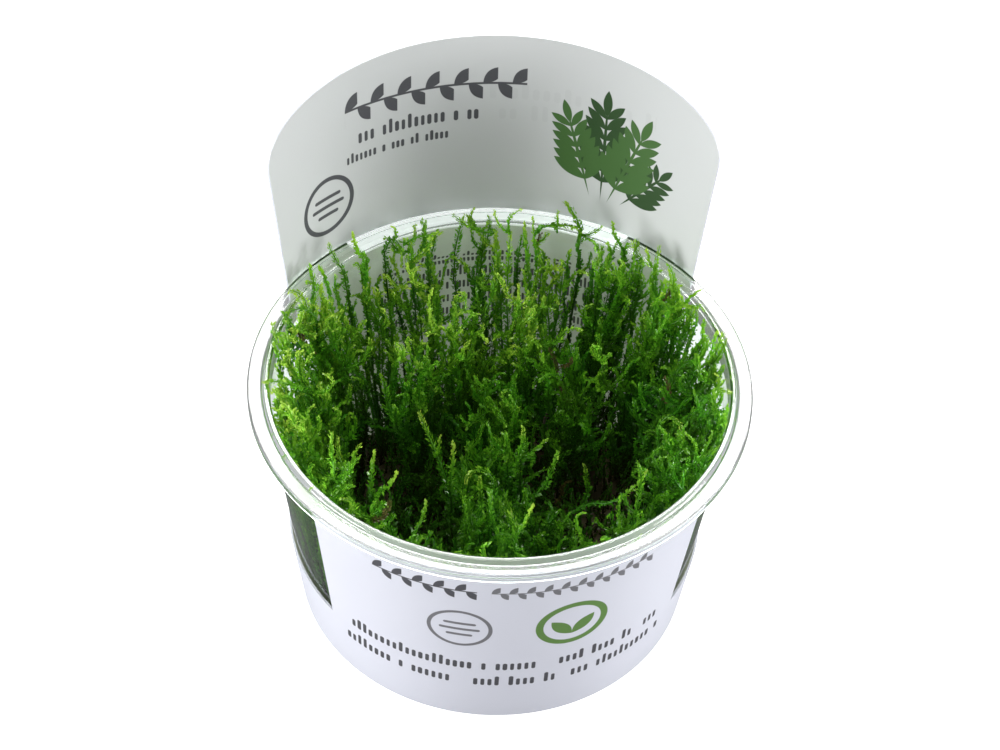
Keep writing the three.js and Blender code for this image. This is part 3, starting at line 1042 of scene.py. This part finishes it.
# %% Shoot paths
MAIN_SHOOTS = 5
FILL_SHOOTS = 19
VALLEY_SHOOTS = 13
REAR_SHOOTS = 8
UNDER_SHOOTS = 13
WALL_SHOOTS = 12
RIGHT_WALL_SHOOTS = 20
STEM_POINTS = 15
TIP_POINTS = 6
SHOOT_SPREAD = 3.7
FILL_SPREAD = 6.2
UNDER_SPREAD = 6.6
VALLEY_BELOW = 32
RIM_FLARE = 3.4
TIP_SCATTER = 9.0
OLD_SHOOTS = 900
OLD_GROWTH_RADIUS = 38.3
# Each bend is the least and the most number of waves along a shoot, and how wide they swing.
BENDS = [(0.4, 1.1, 1.5), (1.2, 2.4, 0.5), (3.5, 6.0, 0.15)]


def flat_way(turn):
    return np.array([cos(turn), sin(turn), 0])


def extended(path, steps):
    return np.concatenate([path, path[-1] + np.cumsum(steps, axis=0)])


def kept_inside(path, room):
    """Draws a path in where it would cross the cup's wall, by scaling it towards the axis."""
    wall = np.array([inner_wall(z) if z < FLANGE_TOP else MOUTH_RADIUS + 1.2 * (z - FLANGE_TOP)
                     for z in path[:, 2]])
    r = np.hypot(path[:, 0], path[:, 1])
    path[:, :2] *= np.minimum(1.0, (wall - room) / np.maximum(r, 1e-6))[:, None]
    return path


def curled_tip(path, length, bend, turn):
    """Adds a tip that bends away to one side, more and more towards its end."""
    forward = unit(path[-1] - path[-2])
    angles = bend * np.linspace(0, 1, TIP_POINTS + 1)[1:] ** 1.3
    return extended(path, length / TIP_POINTS * fan(angles, forward, flat_way(turn)))


def shoot_path(rng, tuft, turn, spread, height, bow):
    """A path from the gel to a tip, fanned out from the tuft's middle, with bends and a curled tip."""
    tip_length = rng.uniform(3, 8)
    t = np.linspace(0, 1, STEM_POINTS)
    z = SHOOT_FOOT + (height - 0.7 * tip_length) * t
    middle = np.array([tuft_centre(tuft, h) for h in z])
    out = spread * (0.3 + 0.7 * t)
    flare = np.array([RIM_FLARE * step(36, 56, h) for h in z]) if tuft.outer else 0 * z
    x = middle[:, 0] + out * cos(turn) + flare * cos(tuft.angle)
    y = middle[:, 1] + out * sin(turn) + flare * sin(tuft.angle)
    for cycles, reach in [(rng.uniform(least, most), reach) for least, most, reach in BENDS]:
        phase, aim = rng.uniform(0, TAU, 2)
        swing = bow * reach * t ** 0.8 * (np.sin(TAU * cycles * t + phase) - sin(phase))
        x, y = x + swing * cos(aim), y + swing * sin(aim)
    curl_turn = rng.uniform(0, TAU)
    if tuft.outer and rng.random() < 0.5:
        curl_turn = tuft.angle + rng.normal(0, 0.6)
    path = curled_tip(np.stack([x, y, z], 1), tip_length, rng.uniform(0.3, 2.5), curl_turn)
    return kept_inside(path, 1.0)


def point_at(path, share):
    return np.array([np.interp(share, np.linspace(0, 1, len(path)), path[:, k]) for k in range(3)])


def fork_path(rng, path, share, length, lean):
    """A side shoot that leaves a shoot sideways, bends up again and curls at its tip."""
    sideways, up = flat_way(rng.uniform(0, TAU)), np.array([0, 0, 1.0])
    steps = 0.7 * length / 6 * fan(lean * np.linspace(1, 0.3, 6), up, sideways)
    fork = extended([point_at(path, share)], steps)
    return kept_inside(curled_tip(fork, 0.35 * length, rng.uniform(0.3, 2.3), rng.uniform(0, TAU)), 0.9)


def old_growth_spots():
    """Even spots over the gel, each given to its nearest tuft."""
    spots = {tuft.id: [] for tuft in TUFTS}
    for i in range(OLD_SHOOTS):
        r = OLD_GROWTH_RADIUS * sqrt((i + 0.5) / OLD_SHOOTS)
        turn = i * math.pi * (3 - sqrt(5))
        x, y = r * cos(turn), r * sin(turn)
        nearest = min(TUFTS, key=lambda tuft: hypot(tuft.x - x, tuft.y - y))
        spots[nearest.id].append((x, y))
    return spots


def old_shoot(growth, spot):
    rng = growth.rng
    t = np.linspace(0, 1, 6)[:, None]
    lean = rng.normal(0, 2.6, 3) * [1, 1, 0]
    path = np.array([*spot, SHOOT_FOOT]) + t * [0, 0, rng.uniform(6, 13)] + lean * t ** 1.5
    growth.shoot(kept_inside(path, 1.2), np.linspace(0.0, 0.4, 6), rng.uniform(0.8, 1.1), gap=0.42)


def wall_shoot(growth, tuft, i, count):
    """A shoot pressed against the clear wall. Every other one is tall and curls at the rim."""
    rng = growth.rng
    tall = i % 2 == 0
    angle = tuft.angle + TAU / RING_COUNTS[-1] * ((i + rng.random()) / count - 0.5)
    height = moss_height(tuft.x, tuft.y) - MOSS_FOOT
    height *= rng.uniform(0.84, 1.0) if tall else rng.uniform(0.5, 0.85)
    height *= OPEN_REAR_HEIGHT if tuft.open_rear else 1.0
    t = np.linspace(0, 1, 14)
    z = MOSS_FOOT + height * t
    r = np.array([inner_wall(min(h, FLANGE_TOP - 1)) for h in z]) - rng.uniform(0.45, 1.9)
    angles = angle + np.cumsum(rng.normal(0, 0.006, 14)) * (1 + t)
    path = np.stack([r * np.cos(angles), r * np.sin(angles), z], 1)
    if tall:
        path = curled_tip(path, rng.uniform(3, 6), rng.uniform(0.2, 1.4), angle + rng.normal(0, 1.0))
    shares = np.linspace(0, 1, len(path)) ** 1.1 * (0.85 if tall else 0.6) + 0.1
    growth.shoot(kept_inside(path, 0.45), shares, rng.uniform(0.9, 1.2))


# %% [markdown]
# ## Shoots that stand out
# Some shoots are the first things the eye meets: the tall ones at the back with their forks, the
# ones that arch over the rim, and the few that cross the dark valleys. Scattering can't give
# those, so each is given as a few points in millimetres. One with a root grows up from the
# gel to its first point, and a fork leaves a neighbour.

# %% Listed shoots
# Each row says whether the shoot has a root or is a fork, its thickness, and its points as x,y,z.
STANDOUTS = """
# At the back, from left to right.
root 1 -30,30,57 -31.4,31,61 -32.8,32,63.7 -33.1,33,64.5
root 1.15 -25.9,32,58.7 -27.4,34,61.7 -28.4,35,65.5
root 0.9 -21.6,37,55.2 -21.4,37.5,58.1 -20.1,38,60.8 -18.5,38,58.7 -18.1,37,53.9
fork 0.9 -19.7,38,60.2 -19.3,38.5,62 -19.9,39,63.3
root 1 -12.4,36,49.1 -12.8,38,56.5 -13.3,39,61 -13.9,40,64.1
fork 0.9 -17.8,38,58.7 -15.5,38.5,60.4 -13.2,39,60.5 -11.4,39.3,60.7 -9.7,39.6,60.8
root 0.85 -15.8,36,49.2 -16,37.5,55.7 -16.2,38,59.5
root 1.1 3.2,33,35.1 2.7,36,44.2 2.2,38.5,51.5 1.4,40.5,59.8
fork 0.9 1.4,40.5,59.5 -1.5,40.5,60.1 -4.5,40.8,61.6 -7.4,41,64.4
root 1 4.5,33,33.6 4.1,36,44.2 4.4,39,54.5 4.6,40.5,59.4
fork 0.8 4.6,40.5,59.1 2.9,41,60.4 1.6,41.2,62.5 1.3,41.5,64.8
fork 0.8 4.6,40.5,59.1 4.1,41,62.1 5.1,41.3,64 6.7,41.6,64.8
root 1 9,36,44 8.2,39,54.4 7.7,41,59.7
root 0.9 10.2,38,50.9 9.6,40,57.7 9.3,42,62.4
fork 0.95 9.6,40,58.9 11,40.5,60.9 13.3,40.8,61.1 15.6,40.8,61.1 17.7,40.5,60.7 19.3,40,60
fork 0.85 14.4,40.5,59.1 14.3,41,61.8 14.4,41.4,64.5
root 1.1 19.2,37,51 18.9,39,55.5 19.4,40,59.7 17.8,41.5,63.5 15.9,42.5,66
fork 0.85 19.4,40,59.1 21.3,40.3,58.8 23.8,40.8,60.3
fork 1 19.8,40,58.6 22.2,39.5,57.2 23.6,39,54.8 22.9,37,52.1
root 1 28,34,56.6 27.2,35,60.2 25.9,36,62.2 25.4,37,64.9
root 1 31.1,32,56.7 30.4,33,59.8 29.5,34,62.3
root 1 34,29,56 32.8,30,59.7 32,31,62.8
root 1 38.3,24,55 36.9,25,58.4 36.2,26,61.5
root 1 41,17,53.3 42,18,55.1 42.5,19,57.3
# Over the left rim.
root 0.85 -35.9,18.4,50 -36,18.3,56 -36.9,18.7,59 -39.3,18,61 -41.7,16.9,61 -42.3,15.9,60
fork 0.8 -42.1,16.6,61 -40.9,16.2,58.5 -38.8,16.4,56 -36.2,17.7,54
root 0.85 -39.6,11.9,52 -42.1,10.9,56 -43.8,10.7,58.5 -44.7,12.7,60
fork 0.8 -44.7,12.1,60 -42.6,13.5,58.5 -40.4,13.6,56
root 0.9 -38.1,4.8,50 -40,2.2,55 -42.2,-0.2,58.5 -44.7,-1.2,60.5 -46.5,-1.7,60.5
fork 0.75 -46.1,-1.4,60.5 -45.9,-2.4,59.5 -45.2,-2.8,59
root 0.85 -41.1,0.4,52 -43.1,-2.1,56.5 -45,-2.2,59
root 0.85 -39.7,-3.1,51 -42.5,-5.7,56 -45,-7,59
# Over the right rim.
root 0.95 42.5,7.2,51 43.5,5.7,55.5 44.9,5.9,58.5 45.4,6.7,60.5
root 0.9 40.2,-1.5,51 41.8,-4.6,56 43.4,-5.3,59 45,-6.6,59.5
fork 0.85 42.2,-4.3,56 43.2,-3.6,59 42.5,-3,61
root 0.8 32.3,-8.8,42 31.6,-6.4,46 31.9,-5.1,49 33.4,-4.8,51 35.4,-6.5,51 36.4,-8.2,49
# In the middle and in front.
root 0.9 5.2,-12.7,36 6.8,-13.7,39 8.7,-13.8,42 10,-12.8,46 10.8,-12.4,50
root 0.75 10,-23.3,40 13.3,-22.1,43 16.6,-21.8,45 19.8,-22.8,46 22.3,-22.2,47 24.4,-21.9,49 26,-21.7,51 27.2,-21.5,54
root 0.8 18.9,-3.3,27 18.3,-3,31 17.8,-2.9,35
root 0.95 3.5,-6.4,39 4.6,-5.4,45 4.5,-4.7,49
root 0.9 4.1,-6.3,40 5.4,-7.1,43 7.2,-7.7,46 8.8,-8.3,49
root 0.9 -9.8,-8.7,32 -10.8,-7.7,37 -12.5,-4.4,41 -14.4,-0.6,44 -15.9,1.7,47
fork 0.9 -10.2,-8.6,35 -9.6,-6.8,39 -9.4,-5.4,42 -9.4,-4.6,45
fork 0.85 -12.5,-4.7,41 -12.1,-4,43.5 -12,-4.1,46
root 0.75 -2,-15.4,37 -1.6,-13.7,42 -2.8,-12.6,44.5 -4.8,-12.4,45.5 -6.8,-13,44.5 -7.2,-13.2,42
root 0.85 -4.2,-14.9,39 -4.5,-14.3,42 -4.5,-13.8,45
root 1.05 -25.9,-14.6,42 -25.8,-12.8,46 -25.2,-11.8,51
root 1 -25,-17.6,44 -22.8,-18.6,48 -21.1,-18.3,52
root 0.95 -18.4,-30.5,46 -16.6,-27.8,49 -15.7,-26.7,53
root 1.1 0.4,-36.8,48 1,-33.7,52 -0.1,-31.7,55
fork 1 0.8,-34.9,51 2.5,-33.5,54 4.2,-32.1,57
"""


def smooth_path(points, count):
    """An even curve through points, by Catmull-Rom."""
    points = np.array(points)
    padded = np.concatenate([2 * points[:1] - points[1:2], points, 2 * points[-1:] - points[-2:-1]], 0)
    spots = []
    for s in np.linspace(0, len(points) - 1 - 1e-6, count):
        i = int(s)
        u = s - i
        a, b, c, d = padded[i:i + 4]
        squared, cubed = 2 * a - 5 * b + 4 * c - d, 3 * b - a - 3 * c + d
        spots.append(0.5 * (2 * b + (c - a) * u + squared * u ** 2 + cubed * u ** 3))
    return np.array(spots)


def standout(growth, rooted, thickness, points):
    """One listed shoot. A rooted one starts at the gel and is bare at its foot."""
    if rooted:
        first = points[0]
        reach = hypot(first[0], first[1])
        foot_reach = min(reach * 0.85, inner_wall(GEL_TOP) - 2.0)
        foot = np.array([first[0] * foot_reach / reach, first[1] * foot_reach / reach, SHOOT_FOOT])
        waist = foot + (first - foot) * 0.55 + np.array([*growth.rng.normal(0, 0.6, 2), 0])
        points = [foot, waist] + points
    length = sum(np.linalg.norm(b - a) for a, b in zip(points, points[1:]))
    count = max(8, int(length / 2.2))
    path = kept_inside(smooth_path(points, count), 0.7)
    start = 0.05 if rooted else 0.72
    shares = start + (1.0 - start) * np.linspace(0, 1, count) ** (0.7 if rooted else 1.0)
    growth.shoot(path, shares, thickness, bare=0.1 if rooted else 0.0, old_share=0.0)


# %% Tufts
def make_tuft(tuft, old_spots, standouts):
    growth = Growth(1000 + tuft.id)
    rng = growth.rng
    x, y = tuft.x, tuft.y
    low, tall = moss_height(x, y) < VALLEY_BELOW, moss_height(x, y) - MOSS_FOOT
    open_rear, open_front = tuft.open_rear, y < -22 and abs(x - 2) < 14
    fill = VALLEY_SHOOTS if low else REAR_SHOOTS if open_rear or open_front else FILL_SHOOTS
    # Painted shade: tufts in the valleys, in the middle front, on the right and at the front take darker colours
    # from the ramp.
    shades = ((low, 0.72), (abs(x) < 14 and y < -8, 0.8), (x > 15 and y < 12, 0.8),
              (y < -15, 0.86), (x > 15, 0.9))
    shade = next((value for test, value in shades if test), 1.0)
    for shoot in range(MAIN_SHOOTS + fill):
        if shoot < MAIN_SHOOTS:
            turn_luck, spread_luck, height_luck = (chance(tuft.id, shoot, k) for k in (1, 2, 3))
            turn = TAU * ((shoot + 0.5 * turn_luck) / MAIN_SHOOTS) + tuft.angle
            spread = SHOOT_SPREAD * (0.75 + 0.25 * spread_luck)
            height = tall + TIP_SCATTER * (height_luck - 0.5) - 2.0
            bow = 0.8
        else:
            turn = rng.uniform(0, TAU)
            spread = FILL_SPREAD * sqrt(rng.random())
            height = tall * (0.45 + 0.5 * rng.random() ** 1.3) + rng.uniform(-3, 3)
            bow = rng.uniform(0.6, 1.8)
            if tuft.outer and cos(turn - tuft.angle) < 0:
                spread *= 0.55
        height *= OPEN_REAR_HEIGHT if open_rear else 1.0
        path = shoot_path(rng, tuft, turn, spread, height, bow)
        # The brightest colour of a shoot rises with the height of its tip: painted light that leaves low shoots
        # darker.
        brightest = float(np.clip(0.4 + path[-1, 2] / 85, 0.5, 1.0)) * shade
        foot_share = OPEN_REAR_PAINTED_LIGHT if open_rear else 0.0
        shares = (foot_share + (1 - foot_share) * np.linspace(0, 1, len(path)) ** 0.85) * brightest
        bare = 0.55 if open_rear and shoot % 2 == 0 else 0.1
        growth.shoot(path, shares, rng.uniform(0.85, 1.25), bare=bare)
        for _ in range(0 if low else rng.integers(0, 4)):
            at = rng.uniform(0.5, 0.92)
            fork_length = min(rng.uniform(5, 13), (1 - at) * height + 3)
            fork = fork_path(rng, path, at, fork_length, rng.uniform(0.6, 1.25))
            begin = np.interp(at, np.linspace(0, 1, len(shares)), shares)
            growth.shoot(fork, np.linspace(begin, brightest, len(fork)), rng.uniform(0.75, 1.0))
        for _ in range(0 if low else rng.integers(0, 3)):
            fork = fork_path(rng, path, rng.uniform(0.8, 0.96), rng.uniform(3, 6.5), rng.uniform(0.7, 1.3))
            growth.shoot(fork, np.linspace(0.9 * brightest, brightest, len(fork)), rng.uniform(0.75, 1.0))
    for _ in range(0 if low or open_rear else UNDER_SHOOTS // 2 if open_front else UNDER_SHOOTS):
        turn, spread = rng.uniform(0, TAU), UNDER_SPREAD * sqrt(rng.random())
        path = shoot_path(rng, tuft, turn, spread, tall * rng.uniform(0.35, 0.72), 0.7)
        # Under shoots stop at mid green: painted shade beneath the taller shoots.
        shares = np.linspace(0.05, rng.uniform(0.5, 0.68), len(path))
        growth.shoot(path, shares, rng.uniform(1.0, 1.3), gap=0.26)
    for spot in old_spots:
        old_shoot(growth, spot)
    if tuft.outer:
        count = RIGHT_WALL_SHOOTS if x > 25 and -3 < y < 22 else WALL_SHOOTS
        for i in range(0, count, 4 if open_rear else 1):
            wall_shoot(growth, tuft, i, count)
    for rooted, thickness, points in standouts:
        standout(growth, rooted, thickness, points)
    node = f"moss_{tuft.id:02d}"
    return finish_piece("leafy_" + node, growth.mesh("leafy_" + node), [moss_green], "moss", node)


old_spots = old_growth_spots()
own_standouts = {tuft.id: [] for tuft in TUFTS}
for line in STANDOUTS.split("\n"):
    if line and not line.startswith("#"):
        kind, thickness, *points = line.split()
        points = [np.array(point.split(","), float) for point in points]
        nearest = min(TUFTS, key=lambda tuft: np.linalg.norm(tuft_centre(tuft, points[0][2]) - points[0][:2]))
        own_standouts[nearest.id].append((kind == "root", float(thickness), points))
tufts = [make_tuft(tuft, old_spots[tuft.id], own_standouts[tuft.id]) for tuft in TUFTS]
leaf_faces = [len(piece.data.polygons) for piece in tufts]
print("moss pieces", len(tufts), "triangles", sum(leaf_faces), "most in one", max(leaf_faces))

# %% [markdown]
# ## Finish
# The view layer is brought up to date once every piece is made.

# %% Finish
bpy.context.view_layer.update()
